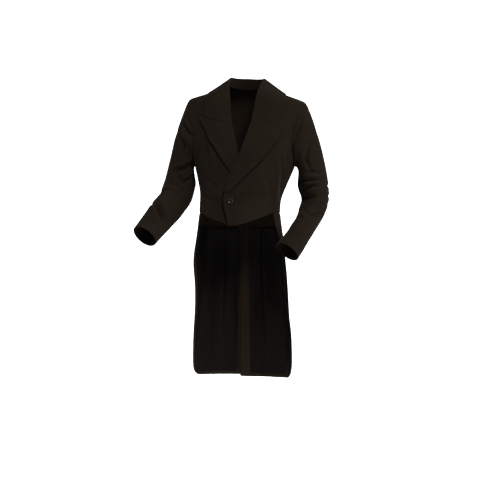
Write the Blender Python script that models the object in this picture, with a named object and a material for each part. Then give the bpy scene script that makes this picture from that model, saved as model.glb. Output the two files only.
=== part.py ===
"""A worn, hollow tailcoat: waist-length fronts closed by one button, peaked lapels and long tails.

The cloth is a set of thin walls on one smooth body form. A place on the form is an angle in
degrees round the body (0 centre front, 90 the side, 180 centre back) and a height in millimetres.
The origin is the middle of the shoulders, level with the neck. The front faces -Y and +X is the
wearer's left. Lengths are millimetres until the mesh is made, in metres.
"""
import math
from collections import namedtuple

import bmesh
import bpy
import numpy as np

MM = 0.001

# Driving sizes
WALL = 2.0              # coat cloth
LINING_WALL = 1.0       # thin lining
SEAM_HALF_GAP = 0.17    # how far each edge stands back from its seam line
SLEEVE_HALF_GAP = 0.3   # the same on a sleeve
LINING_GAP = 0.8
ROUNDNESS = 2.3         # level sections, where 2 is a plain ellipse
SHOULDER_TILT = 0.046   # how far the right shoulder is raised, per millimetre sideways
WAIST_HEIGHT = -472.0
HEM_HEIGHT = {"left": -1138.0, "right": -1130.0}
BUTTON_RADIUS = 11.5
BUTTON_THICKNESS = 3.6
BUTTON_ACROSS = -14.0
BUTTON_HEIGHT = -428.0

# The body form, level by level, as half the width and the depth in front and behind
Level = namedtuple("Level", "height half_width front back")
LEVELS = [
    Level(-1160, 234, 140, 138),
    Level(-1000, 222, 140, 136),
    Level(-820, 200, 138, 132),
    Level(-700, 190, 135, 129),
    Level(-600, 181, 131, 122),
    Level(-530, 169, 126, 108),
    Level(-480, 162, 121, 99),
    Level(-430, 163, 119, 97),
    Level(-315, 191, 130, 112),
    Level(-200, 228, 126, 119),
    Level(-80, 240, 109, 108),
    Level(-30, 240, 98, 94),
    Level(0, 165, 87, 80),
    Level(20, 113, 73, 64),
    Level(35, 78, 57, 50),
    Level(60, 52, 42, 38),
]

# How the wearer's stance moves each level
Stance = namedtuple("Stance", "height across forward")
STANCES = [
    Stance(-1160, -46, 0),
    Stance(-820, -40, -10),
    Stance(-460, -38, -15),
    Stance(-300, -21, -10),
    Stance(-170, -16, -5),
    Stance(0, -11, 0),
    Stance(80, -11, 0),
]

# Front edge of a forepart from the neck point down, by how far it is from the centre
Edge = namedtuple("Edge", "across height")
ROLL_LINE = [Edge(78, 35), Edge(68, 4), Edge(60, -38), Edge(42, -120)]
LAPEL_ROLL = [Edge(42, -120), Edge(11, -230), Edge(0, -263), Edge(-31, -348), Edge(-39, -394)]
FRONT_EDGE = [Edge(-39, -394), Edge(-43, -425), Edge(-40, -448), Edge(-29, -475), Edge(-21, -526)]
FRONT_HEM = [Edge(-21, -526), Edge(23, -520), Edge(62, -508), Edge(104, -492)]

# Outer edge of each lapel from the peak down to the break
LapelEdge = namedtuple("LapelEdge", "height left right")
LAPEL_EDGES = [
    LapelEdge(-105, 175, 173),
    LapelEdge(-139, 164, 153),
    LapelEdge(-175, 150, 130),
    LapelEdge(-224, 116, 97),
    LapelEdge(-284, 72, 55),
    LapelEdge(-334, 26, 12),
    LapelEdge(-390, -17, -15),
]
GORGE = [Edge(42, -120), Edge(78, -118), Edge(112, -112), Edge(152, -98)]

# Seams and edges given by the angle round the body: the front edge of a tail from the waist round to
# its hem, the seam from the back of the armhole to the waist, and the one on down the tail
Along = namedtuple("Along", "angle height")
TAIL_EDGES = [
    Along(61.4, -472), Along(63.5, -520), Along(68, -565), Along(79, -630),
    Along(94, -720), Along(105, -820), Along(112, -920), Along(116.5, -1010),
    Along(118.5, -1070), Along(120.5, -1105), Along(125.5, -1129),
]
TAIL_CORNER_ANGLE = 130.0
BACK_SEAM = [Along(141, -318), Along(155, -400), Along(160, WAIST_HEIGHT)]
TAIL_SEAM = [Along(160, WAIST_HEIGHT), Along(158, -640), Along(156, -880)]
TAIL_SEAM_HEM_ANGLE = 155.0
FRONT_HEM_END = Edge(146, WAIST_HEIGHT)

# The armhole, an oval on the body form
ARMHOLE_ANGLE = 90.0
ARMHOLE_HALF_ANGLE = 33.0
ARMHOLE_HEIGHT = -158.0
ARMHOLE_HALF_HEIGHT = 128.0

# Grid counts
ARMHOLE_STEPS = 24      # round a whole armhole and sleeve, with a seam at each third
UNDER_STEPS = ARMHOLE_STEPS // 3
SHOULDER_STEPS = 8
SIDE_STEPS = 9
TAIL_STEPS = 15
NECK_STEPS = 7
COLLAR_FRONT_STEPS = 5
LAPEL_STEPS = 8
FRONT_EDGE_STEPS = 4
LEAF_STEPS = 6
TAIL_CROWDING = 1.35    # how much closer the rows of a tail lie towards its hem

# Large soft folds of the body cloth; depth is out of the form, so a trough is negative
FOLD_DEGREE = 2.6       # millimetres round the body for each degree
Fold = namedtuple("Fold", "side angle_1 height_1 angle_2 height_2 width depth")
BODY_FOLDS = [
    Fold("right", 56, -95, 47, -215, 13, -6),
    Fold("right", 62, -40, 58, -130, 11, 4),
    Fold("right", 47, -215, 36, -262, 14, -4),
    Fold("right", 40, -330, 66, -395, 15, -4),
    Fold("left", 54, -250, 36, -330, 16, -4),
    Fold("left", 60, -310, 40, -415, 15, -5),
    Fold("left", 66, -360, 48, -440, 13, 4),
    Fold("left", 60, -90, 52, -190, 13, -4),
    Fold("right", 74, -330, 84, -440, 16, -5),
    Fold("left", 80, -330, 92, -445, 15, -5),
    Fold("right", 124, -150, 142, -300, 18, -5),
    Fold("left", 126, -140, 140, -290, 18, -6),
    Fold("right", 150, -340, 172, -420, 16, -4),
    Fold("left", 146, -360, 170, -410, 16, -4),
    Fold("left", 176, -60, 150, -95, 18, -3),
    Fold("right", 176, -70, 152, -90, 18, -3),
    Fold("left", 100, -560, 112, -900, 22, -8),
    Fold("left", 128, -520, 136, -1160, 24, 9),
    Fold("left", 148, -620, 150, -1160, 20, -7),
    Fold("right", 98, -540, 110, -880, 22, -7),
    Fold("right", 124, -560, 132, -1160, 26, 9),
    Fold("right", 146, -540, 146, -1160, 22, -8),
    Fold("right", 166, -700, 168, -1160, 20, 6),
    Fold("left", 164, -760, 166, -1160, 20, 5),
]

# Sleeve stations, as seen in the photo: across and height in its plane, depth behind the origin
Station = namedtuple("Station", "across height depth half_width half_depth")
VIEW_ANGLE = 10.0       # how far the view is turned from straight ahead
SLEEVES = {
    "right": [
        Station(-280, -346, -6, 63, 66),
        Station(-291, -388, -16, 66, 64),
        Station(-326, -449, -56, 63, 62),
        Station(-365, -500, -104, 58, 58),
        Station(-413, -566, -162, 52, 53),
    ],
    "left": [
        Station(250, -352, 16, 61, 66),
        Station(259, -412, 36, 57, 63),
        Station(248, -462, 22, 51, 60),
        Station(226, -505, -10, 45, 58),
        Station(197, -552, -47, 44, 56),
        Station(170, -594, -78, 47, 53),
        Station(146, -626, -100, 50, 51),
    ],
}
HEAD_RINGS = 8          # from the armhole to the first station
ARM_RINGS = 17          # from there to the cuff
HEAD_FULLNESS = 22.0    # how strongly the sleeve leaves the armhole sideways

# Large folds of the sleeves, by ring and by angle round the arm (0 outside, 90 front, 180 inside)
RING_LENGTH = 19.0      # millimetres down the sleeve for each ring
TURN_LENGTH = 1.05      # millimetres round the sleeve for each degree
SleeveFold = namedtuple("SleeveFold", "side ring_1 angle_1 ring_2 angle_2 width depth")
SLEEVE_FOLDS = [
    SleeveFold("right", 2.2, 70, 4.6, 128, 12, -8),
    SleeveFold("right", 3.6, 40, 6.6, 66, 13, 6),
    SleeveFold("right", 8.2, 45, 7.4, 150, 12, -6),
    SleeveFold("right", 9.3, 70, 9.6, 168, 13, 6),
    SleeveFold("right", 10.6, 80, 10.0, 175, 10, -8),
    SleeveFold("right", 12.6, 10, 15.0, 62, 11, -9),
    SleeveFold("right", 13.6, 80, 12.6, 175, 13, -5),
    SleeveFold("right", 17.5, 30, 16.5, 150, 13, 5),
    SleeveFold("right", 20.5, 60, 19.5, 160, 12, -5),
    SleeveFold("right", 9.5, 200, 11.5, 290, 14, -7),
    SleeveFold("right", 13.5, 210, 12.5, 300, 13, -6),
    SleeveFold("right", 17.5, 220, 19.0, 310, 13, -5),
    SleeveFold("left", 2.0, 20, 3.2, 90, 13, -6),
    SleeveFold("left", 8.6, 170, 9.4, 30, 13, 6),
    SleeveFold("left", 10.6, 170, 10.2, 60, 11, -8),
    SleeveFold("left", 12.2, 175, 12.0, 90, 11, -8),
    SleeveFold("left", 14.4, 165, 15.8, 110, 12, 7),
    SleeveFold("left", 16.6, 150, 15.0, 20, 12, -7),
    SleeveFold("left", 18.6, 175, 18.0, 110, 11, -6),
    SleeveFold("left", 21.0, 150, 20.0, 40, 13, -4),
    SleeveFold("left", 10.5, 200, 12.0, 300, 14, -7),
    SleeveFold("left", 14.0, 210, 13.0, 310, 13, -6),
    SleeveFold("left", 18.0, 210, 19.5, 300, 13, -5),
]

# Lapel and collar
LEAF_LIFT = 3.6         # middle of the turned cloth above the middle of the cloth that it lies on
FOLD_RADIUS = 2.0
LEAF_START = 0.8        # the turned cloth starts this far from the edge that it is sewn to
LAPEL_STAND = 2.6       # how far the cloth runs on past the roll line before it turns
LAPEL_BELLY = 3.0       # how far the lapel swells between its roll and its edge
STAND_BACK = 42.0
STAND_SIDE = 33.0
STAND_LEAN = 0.34
COLLAR_EDGE_BACK = -8.0
COLLAR_EDGE_SIDE = 5.0
COLLAR_EDGE_ACROSS = 150.0
BACK_NECK_HEIGHT = 28.0
BACK_SHOULDER_HEIGHT = -34.0    # the centre back level with the shoulder point
BACK_BLADE_HEIGHT = -232.0      # the centre back level with the back of the armhole's seam
FRONT_LAP_LIFT = 8.5    # the left front lies this far over the right one
FRONT_LAP_ANGLES = (9.0, 38.0)          # where that lift fades out round the body
FRONT_LAP_HEIGHTS = (-262.0, -110.0)    # and up the roll line
VENT_LAP_LIFT = 4.2     # the left tail lies this far inside the right one
VENT_LAP_ANGLES = (164.0, 174.0)
VENT_TOP = -486.0
VENT_FADE = 30.0
VENT_OVERLAP = {"left": 3.2, "right": 1.0}      # degrees past the centre back
VENT_OVERLAP_HEIGHTS = (-640.0, -530.0)
TILT_HEIGHTS = (-450.0, -100.0)         # where the tilt of the shoulders sets in
SIDES = {"left": 1, "right": -1}

# Steps for measuring which way a surface faces
ANGLE_STEP = 0.4
HEIGHT_STEP = 1.5

for old in list(bpy.data.objects):
    bpy.data.objects.remove(old, do_unlink=True)


def ramp(value, start, end):
    """0 at start, 1 at end, with soft ends."""
    share = np.clip((np.asarray(value, float) - start) / (end - start), 0.0, 1.0)
    return share * share * (3.0 - 2.0 * share)


def steady_curve(rows, column, at):
    """A smooth curve through one column of a table, with no overshoot between its rows."""
    heights = np.array([row.height for row in rows], float)
    values = np.array([getattr(row, column) for row in rows], float)
    steps = np.diff(heights)
    slopes = np.diff(values) / steps
    turns = np.zeros(len(values))
    same = slopes[:-1] * slopes[1:] > 0
    mean = 2.0 * slopes[:-1] * slopes[1:] / np.where(same, slopes[:-1] + slopes[1:], 1.0)
    turns[1:-1] = np.where(same, mean, 0.0)
    turns[0] = slopes[0]
    turns[-1] = slopes[-1]
    at = np.clip(np.asarray(at, float), heights[0], heights[-1])
    row = np.clip(np.searchsorted(heights, at) - 1, 0, len(steps) - 1)
    share = (at - heights[row]) / steps[row]
    rest = 1.0 - share
    start = values[row] * (1.0 + 2.0 * share) * rest * rest + turns[row] * steps[row] * share * rest * rest
    end = values[row + 1] * (3.0 - 2.0 * share) * share * share
    return start + end - turns[row + 1] * steps[row] * share * share * rest


def angle_at(across, height):
    """The angle round the front of the body where the form is this far from the centre."""
    width = steady_curve(LEVELS, "half_width", height)
    share = np.clip(np.abs(across) / width, 0.0, 1.0) ** (ROUNDNESS / 2.0)
    return np.degrees(np.arcsin(share)) * np.sign(across)


def fold_height(angle, height, side):
    """How far the large folds move the body cloth out of the form."""
    total = np.zeros(np.shape(angle))
    for fold in BODY_FOLDS:
        if fold.side != side:
            continue
        start = np.array([fold.angle_1 * FOLD_DEGREE, fold.height_1])
        run = np.array([fold.angle_2 * FOLD_DEGREE, fold.height_2]) - start
        east = angle * FOLD_DEGREE - start[0]
        north = height - start[1]
        share = np.clip((east * run[0] + north * run[1]) / (run @ run), 0.0, 1.0)
        away = np.hypot(east - share * run[0], north - share * run[1])
        strength = 0.35 + 0.65 * np.sin(math.pi * np.clip(share, 0.08, 0.92))
        total = total + fold.depth * strength * np.exp(-(away / fold.width) ** 2)
    return total


def body(angle, height, side, lift=0.0):
    """Places on the posed body form, moved out by lift."""
    angle = np.asarray(angle, float)
    height = np.asarray(height, float)
    sine = np.sin(np.radians(angle))
    cosine = np.cos(np.radians(angle))
    power = 2.0 / ROUNDNESS
    across = steady_curve(LEVELS, "half_width", height) * np.sign(sine) * np.abs(sine) ** power
    front = steady_curve(LEVELS, "front", height)
    back = steady_curve(LEVELS, "back", height)
    depth = np.where(cosine > 0, -front, back) * np.abs(cosine) ** power
    out = lift + fold_height(angle, height, side)
    if side == "left":
        over = (1.0 - ramp(angle, *FRONT_LAP_ANGLES)) * (1.0 - ramp(height, *FRONT_LAP_HEIGHTS))
        under = ramp(angle, *VENT_LAP_ANGLES) * (1.0 - ramp(height, VENT_TOP - VENT_FADE, VENT_TOP))
        out = out + FRONT_LAP_LIFT * over - VENT_LAP_LIFT * under
    size = np.hypot(across, depth)
    across = across * (1.0 + out / size)
    depth = depth * (1.0 + out / size)
    x = SIDES[side] * across + steady_curve(STANCES, "across", height)
    y = depth + steady_curve(STANCES, "forward", height)
    z = height - SHOULDER_TILT * x * ramp(height, *TILT_HEIGHTS)
    return np.stack([x, y, z], axis=-1)


def unit(vectors):
    return vectors / np.maximum(np.linalg.norm(vectors, axis=-1, keepdims=True), 1e-9)


def outward(angle, height, side):
    """The direction straight out of the body form."""
    turn = body(angle + ANGLE_STEP, height, side) - body(angle - ANGLE_STEP, height, side)
    rise = body(angle, height + HEIGHT_STEP, side) - body(angle, height - HEIGHT_STEP, side)
    return unit(np.cross(turn, rise)) * SIDES[side]


def crowded(steps, crowding):
    """Shares of a length from 0 to 1 that come closer together towards the end."""
    return 1.0 - (1.0 - np.linspace(0.0, 1.0, steps + 1)) ** crowding


def curve_through(points, steps, crowding=1.0):
    """Places along a soft curve through the points, closer together towards its end if crowded."""
    points = np.array(points, float)
    ends = np.vstack([2 * points[0] - points[1], points, 2 * points[-1] - points[-2]])
    fine = []
    for start in range(len(points) - 1):
        before, first, second, after = ends[start:start + 4]
        for share in np.arange(0.0, 1.0, 0.02):
            bend = share * (1.0 - share) / 2.0
            straight = first + (second - first) * (share * share * (3.0 - 2.0 * share))
            fine.append(straight + bend * ((1.0 - share) * (second - before) - share * (after - first)))
    fine = np.array(fine + [points[-1]])
    walked = np.concatenate([[0.0], np.cumsum(np.linalg.norm(np.diff(fine, axis=0), axis=1))])
    marks = walked[-1] * crowded(steps, crowding)
    return np.stack([np.interp(marks, walked, fine[:, 0]), np.interp(marks, walked, fine[:, 1])], axis=-1)


def on_body(edges, steps):
    """A curve given by distance from the centre, as angles and heights."""
    places = curve_through([(edge.across, edge.height) for edge in edges], steps)
    return np.stack([angle_at(places[:, 0], places[:, 1]), places[:, 1]], axis=-1)


def patch(left, right, top, bottom):
    """A grid between four edges; left and right run down, top and bottom run left to right."""
    down = np.linspace(0.0, 1.0, len(left))[:, None, None]
    over = np.linspace(0.0, 1.0, len(top))[None, :, None]
    sides = (1.0 - over) * left[:, None, :] + over * right[:, None, :]
    ends = (1.0 - down) * top[None, :, :] + down * bottom[None, :, :]
    corners = (1.0 - down) * ((1.0 - over) * top[0] + over * top[-1])
    corners = corners + down * ((1.0 - over) * bottom[0] + over * bottom[-1])
    return sides + ends - corners


def drawn_in(grid, gap=SEAM_HALF_GAP):
    """The grid with its four edges moved in by half a seam gap, square to each edge."""
    grid = grid.copy()
    for axis in (0, 1):
        for end, inner in ((0, 1), (-1, -2)):
            edge = np.take(grid, end, axis=axis)
            step = np.take(grid, inner, axis=axis) - edge
            along = unit(np.gradient(edge, axis=0))
            square = step - np.sum(step * along, axis=-1, keepdims=True) * along
            moved = edge + step * gap / np.maximum(np.linalg.norm(square, axis=-1, keepdims=True), 1e-6)
            if axis == 0:
                grid[end] = moved
            else:
                grid[:, end] = moved
    return grid


def material(name, colour, roughness, sheen=0.0):
    made = bpy.data.materials.new(name)
    made.use_nodes = True
    shader = made.node_tree.nodes["Principled BSDF"]
    shader.inputs["Base Color"].default_value = (*colour, 1.0)
    shader.inputs["Roughness"].default_value = roughness
    shader.inputs["Sheen Weight"].default_value = sheen
    return made


def place(name, mesh_source, look):
    """One closed mesh as a named object with its own material."""
    bmesh.ops.recalc_face_normals(mesh_source, faces=mesh_source.faces)
    mesh = bpy.data.meshes.new(name)
    mesh_source.to_mesh(mesh)
    mesh_source.free()
    mesh.materials.append(material(name, *look))
    mesh.shade_smooth()
    mesh.set_sharp_from_angle(angle=math.radians(50))
    made = bpy.data.objects.new(name, mesh)
    bpy.context.collection.objects.link(made)
    return made


def cloth(name, middle, out, look, wall=WALL):
    """A closed wall of cloth round a grid of middle points."""
    rows, columns = middle.shape[:2]
    made = bmesh.new()
    faces = [middle + out * wall / 2.0, middle - out * wall / 2.0]
    points = []
    for face in faces:
        points.append([[made.verts.new(face[i, j] * MM) for j in range(columns)] for i in range(rows)])
    for grid in points:
        for i in range(rows - 1):
            for j in range(columns - 1):
                made.faces.new((grid[i][j], grid[i + 1][j], grid[i + 1][j + 1], grid[i][j + 1]))
    outer, inner = points
    border = [(0, j) for j in range(columns)] + [(i, columns - 1) for i in range(1, rows)]
    border += [(rows - 1, j) for j in range(columns - 2, -1, -1)] + [(i, 0) for i in range(rows - 2, 0, -1)]
    for (i, j), (k, m) in zip(border, border[1:] + border[:1]):
        made.faces.new((outer[i][j], outer[k][m], inner[k][m], inner[i][j]))
    bmesh.ops.recalc_face_normals(made, faces=made.faces)
    bmesh.ops.triangulate(made, faces=made.faces, quad_method="FIXED")
    return place(name, made, look)


CLOTH_LOOK = ((0.016, 0.014, 0.012), 0.86, 0.25)
LINING_LOOK = ((0.008, 0.008, 0.009), 0.34, 0.0)
BUTTON_LOOK = ((0.012, 0.011, 0.010), 0.22, 0.0)


def armhole_places():
    """The armhole as angles and heights, from the shoulder point round by the front."""
    turn = np.radians(np.arange(ARMHOLE_STEPS + 1) * 360.0 / ARMHOLE_STEPS)
    angles = ARMHOLE_ANGLE - ARMHOLE_HALF_ANGLE * np.sin(turn)
    heights = ARMHOLE_HEIGHT + ARMHOLE_HALF_HEIGHT * np.cos(turn)
    return np.stack([angles, heights], axis=-1)


def sleeve_fold_height(rings, turns, side):
    """How far the large folds move the sleeve cloth."""
    total = np.zeros(np.broadcast(rings, turns).shape)
    for fold in SLEEVE_FOLDS:
        if fold.side != side:
            continue
        start = np.array([fold.ring_1 * RING_LENGTH, fold.angle_1 * TURN_LENGTH])
        run = np.array([fold.ring_2 * RING_LENGTH, fold.angle_2 * TURN_LENGTH]) - start
        down = rings * RING_LENGTH - start[0]
        round_arm = turns * TURN_LENGTH - start[1]
        share = np.clip((down * run[0] + round_arm * run[1]) / (run @ run), 0.0, 1.0)
        away = np.hypot(down - share * run[0], round_arm - share * run[1])
        strength = 0.3 + 0.7 * np.sin(math.pi * np.clip(share, 0.08, 0.92))
        total = total + fold.depth * strength * np.exp(-(away / fold.width) ** 2)
    return total


def sleeve_grid(side):
    """Middle points and outward directions of a whole sleeve, ring by ring from its armhole."""
    view = math.radians(VIEW_ANGLE)
    stations = SLEEVES[side]
    centres = []
    for station in stations:
        across = (station.across - station.depth * math.sin(view)) / math.cos(view)
        centres.append((across, station.depth, station.height))
    centres = np.array(centres, float)
    walked = np.concatenate([[0.0], np.cumsum(np.linalg.norm(np.diff(centres, axis=0), axis=1))])
    Place = namedtuple("Place", "height x y z wide deep")
    table = [Place(walk, *centre, station.half_width, station.half_depth)
             for walk, centre, station in zip(walked, centres, stations)]
    walks = np.linspace(0.0, walked[-1], ARM_RINGS + 1)
    centre = np.stack([steady_curve(table, name, walks) for name in "xyz"], axis=-1)
    wide = steady_curve(table, "wide", walks)
    deep = steady_curve(table, "deep", walks)
    axis = unit(np.gradient(centre, axis=0))
    sideways = np.array([SIDES[side], 0.0, 0.0])
    outer = unit(sideways - (axis @ sideways)[:, None] * axis)
    forward = np.array([0.0, -1.0, 0.0])
    ahead = forward - (axis @ forward)[:, None] * axis
    ahead = unit(ahead - np.sum(ahead * outer, axis=-1, keepdims=True) * outer)
    turn = np.radians(np.arange(ARMHOLE_STEPS + 1) * 360.0 / ARMHOLE_STEPS)
    arm = centre[:, None] + (wide[:, None] * np.cos(turn))[..., None] * outer[:, None]
    arm = arm + (deep[:, None] * np.sin(turn))[..., None] * ahead[:, None]
    places = armhole_places()
    start = body(places[:, 0], places[:, 1], side)
    chord = arm[0] - start
    reach = np.linalg.norm(chord, axis=-1, keepdims=True)
    crown = ((0.5 + 0.5 * np.cos(turn)) ** 1.5)[:, None]
    leave = 0.8 * crown * chord + (0.14 * crown + 0.8 * (1.0 - crown)) * reach * sideways
    leave = leave + HEAD_FULLNESS * (1.0 - crown) * sideways
    arrive = axis[0] * reach * 0.9
    share = (np.arange(HEAD_RINGS) / HEAD_RINGS)[:, None, None]
    rest = 1.0 - share
    head = start * (1.0 + 2.0 * share) * rest ** 2 + arm[0] * (3.0 - 2.0 * share) * share ** 2
    head = head + leave * share * rest ** 2 - arrive * share ** 2 * rest
    grid = np.concatenate([head, arm], axis=0)
    rings = np.arange(len(grid))[:, None]
    fold = sleeve_fold_height(rings, np.degrees(turn)[None], side)
    seams = np.degrees(turn)[None] - 120.0, np.degrees(turn)[None] - 240.0
    fold = fold * (1.0 - 0.6 * np.exp(-(seams[0] / 16.0) ** 2) - 0.6 * np.exp(-(seams[1] / 16.0) ** 2))
    fold = fold * ramp(rings, 0.5, 2.5) * (1.0 - 0.7 * ramp(rings, len(grid) - 4.0, len(grid) - 1.0))
    grid = grid + fold[..., None] * sleeve_out(grid, side)
    return grid, sleeve_out(grid, side)


def sleeve_out(grid, side):
    """The direction out of a sleeve at each point of its rings."""
    ring_run = np.gradient(grid, axis=0)
    wrapped = np.concatenate([grid[:, -2:-1], grid, grid[:, 1:2]], axis=1)
    turn_run = wrapped[:, 2:] - wrapped[:, :-2]
    return unit(np.cross(turn_run, ring_run)) * SIDES[side]


def armhole_mitre(side, sleeve_outward):
    """The shared direction of the wall where the sleeve meets the body."""
    places = armhole_places()
    body_out = outward(places[:, 0], places[:, 1], side)
    sleeve_start = sleeve_outward[0]
    agree = np.sum(body_out * sleeve_start, axis=-1, keepdims=True)
    return (body_out + sleeve_start) / np.maximum(1.0 + agree, 0.8)


def back_seam():
    """The curved seam from the back of the armhole to the waist."""
    start = armhole_places()[2 * UNDER_STEPS]
    return curve_through([start, *BACK_SEAM], SIDE_STEPS)


def tail_seam(side):
    hem = Along(TAIL_SEAM_HEM_ANGLE, HEM_HEIGHT[side])
    return curve_through([*TAIL_SEAM, hem], TAIL_STEPS, TAIL_CROWDING)


def waist_seam():
    start = armhole_places()[UNDER_STEPS][0]
    angles = np.linspace(start, TAIL_SEAM[0].angle, UNDER_STEPS + 1)
    return np.stack([angles, np.full_like(angles, WAIST_HEIGHT)], axis=-1)


def front_seam():
    start = armhole_places()[UNDER_STEPS]
    heights = np.linspace(start[1], WAIST_HEIGHT, SIDE_STEPS + 1)
    return np.stack([np.full_like(heights, start[0]), heights], axis=-1)


def shoulder_seam():
    heights = np.linspace(ROLL_LINE[0].height, ARMHOLE_HEIGHT + ARMHOLE_HALF_HEIGHT, SHOULDER_STEPS + 1)
    return np.stack([np.full_like(heights, 90.0), heights], axis=-1)


def back_neck():
    """The neck seam from the centre back to the neck point."""
    angles = np.linspace(180.0, 90.0, NECK_STEPS + 1)
    heights = ROLL_LINE[0].height + (BACK_NECK_HEIGHT - ROLL_LINE[0].height) * ramp(angles, 90.0, 180.0)
    return np.stack([angles, heights], axis=-1)


def front_line():
    """The whole front edge of a forepart: roll line, lapel roll and free edge."""
    upper = on_body(ROLL_LINE, COLLAR_FRONT_STEPS)
    middle = on_body(LAPEL_ROLL, LAPEL_STEPS)
    lower = on_body(FRONT_EDGE, FRONT_EDGE_STEPS)
    return np.concatenate([upper, middle[1:], lower[1:]])


def forepart_grid():
    holes = armhole_places()
    seam = front_seam()
    right = np.concatenate([holes[:UNDER_STEPS + 1], seam[1:]])
    bottom = on_body(FRONT_HEM + [FRONT_HEM_END], SHOULDER_STEPS)
    bottom[-1] = seam[-1]
    return patch(front_line(), right, shoulder_seam(), bottom)


def back_grid(side):
    """The back with its tail strip, from the centre outwards."""
    holes = armhole_places()[::-1]
    steps_to_seam = ARMHOLE_STEPS - 2 * UNDER_STEPS
    armhole = holes[1:steps_to_seam + 1]
    right = np.concatenate([shoulder_seam(), armhole, back_seam()[1:], tail_seam(side)[1:]])
    hem = HEM_HEIGHT[side]
    yoke = np.linspace(BACK_NECK_HEIGHT, BACK_SHOULDER_HEIGHT, SHOULDER_STEPS + 1)
    blade = np.linspace(BACK_SHOULDER_HEIGHT, BACK_BLADE_HEIGHT, steps_to_seam + 1)
    small = np.linspace(BACK_BLADE_HEIGHT, WAIST_HEIGHT, SIDE_STEPS + 1)
    tail = WAIST_HEIGHT + (hem - WAIST_HEIGHT) * crowded(TAIL_STEPS, TAIL_CROWDING)
    heights = np.concatenate([yoke, blade[1:], small[1:], tail[1:]])
    angles = 180.0 + VENT_OVERLAP[side] * (1.0 - ramp(heights, *VENT_OVERLAP_HEIGHTS))
    left = np.stack([angles, heights], axis=-1)
    over = np.linspace(0.0, 1.0, NECK_STEPS + 1)[:, None]
    bottom = left[-1] * (1.0 - over) + right[-1] * over
    return patch(left, right, back_neck(), bottom)


def skirt_grid(side):
    hem = HEM_HEIGHT[side]
    corner = (TAIL_CORNER_ANGLE, hem)
    left = curve_through([*TAIL_EDGES, corner], TAIL_STEPS, TAIL_CROWDING)
    right = tail_seam(side)
    over = np.linspace(0.0, 1.0, UNDER_STEPS + 1)[:, None]
    bottom = np.array(corner) * (1.0 - over) + right[-1] * over
    return patch(left, right, waist_seam(), bottom)


def panel(name, grid, side, mitred=()):
    """A wall on the body form; mitred gives grid places that take the armhole's shared direction."""
    out = outward(grid[..., 0], grid[..., 1], side)
    for row, column, direction in mitred:
        out[row, column] = direction
    middle = drawn_in(body(grid[..., 0], grid[..., 1], side))
    return cloth(name, middle, out, CLOTH_LOOK)


def leaf_rows(seam, stand, normal, height, leaf):
    """Cloth that runs on from a seam for a height, turns over and lies along the leaf points."""
    turn = FOLD_RADIUS
    first = (
        (LEAF_START, 0.0, 0.0),
        (height * 0.55, 0.0, 0.0),
        (height + 0.3 * turn, 0.3 * turn, 45.0),
        (height + 0.7 * turn, turn, 90.0),
        (height + 0.3 * turn, 1.7 * turn, 135.0),
    )
    points = [seam + up * stand + over * normal for up, over, _ in first]
    out = [math.sin(math.radians(a)) * stand - math.cos(math.radians(a)) * normal for _, _, a in first]
    return points + list(leaf), out


def leaf_out(points, out, side):
    """Directions out of the turned leaf, from its own grid; the roll keeps the ones it was given."""
    run_down = np.gradient(points, axis=0)
    run_over = np.gradient(points, axis=1)
    directions = unit(np.cross(run_down, run_over)) * SIDES[side]
    rolled = out.shape[1]
    directions[:, :rolled] = out
    return directions


def lapel(side):
    grid = forepart_grid()
    first = COLLAR_FRONT_STEPS
    last = COLLAR_FRONT_STEPS + LAPEL_STEPS
    roll = grid[first:last + 1, 0]
    edge_points = [Edge(getattr(row, side), row.height) for row in LAPEL_EDGES]
    outer = on_body(edge_points, LAPEL_STEPS)
    top = on_body(GORGE, LEAF_STEPS - 1)
    top = np.concatenate([top, outer[:1]])
    over = np.linspace(0.0, 1.0, LEAF_STEPS + 1)[:, None]
    bottom = roll[-1] * (1.0 - over) + outer[-1] * over
    flat = patch(roll, outer, top, bottom)
    points = []
    directions = []
    for row in range(LAPEL_STEPS + 1):
        seam, stand, normal = seam_frame(grid, first + row, side)
        down = row / LAPEL_STEPS
        shares = np.arange(1, LEAF_STEPS + 1) / LEAF_STEPS
        belly = LAPEL_BELLY * np.sin(math.pi * shares) * (1.0 - down) ** 0.7
        angles = flat[row, 1:, 0]
        heights = flat[row, 1:, 1]
        lift = LEAF_LIFT + belly
        lying = body(angles, heights, side) + outward(angles, heights, side) * lift[:, None]
        row_points, row_out = leaf_rows(seam, stand, normal, LAPEL_STAND, lying)
        points.append(row_points)
        directions.append(row_out)
    points = np.array(points)
    out = leaf_out(points, np.array(directions), side)
    return cloth("lapel_" + side, end_drawn_in(points), out, CLOTH_LOOK)


def end_drawn_in(points, gap=0.3):
    """Moves the two end rows of a turned leaf back from the gorge."""
    points = points.copy()
    for end, inner in ((0, 1), (-1, -2)):
        step = points[inner] - points[end]
        points[end] = points[end] + unit(step) * gap
    return points


def seam_frame(grid, row, side):
    """At a front edge place: the point, the direction off the cloth's edge, and straight out."""
    edge = body(grid[:, 0, 0], grid[:, 0, 1], side)
    along = unit(np.gradient(edge, axis=0))[row]
    normal = outward(grid[row, 0, 0], grid[row, 0, 1], side)
    stand = unit(np.cross(normal, along))
    inside = body(grid[row, 1, 0], grid[row, 1, 1], side)
    if (inside - edge[row]) @ stand > 0:
        stand = -stand
    return edge[row], stand, normal


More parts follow.
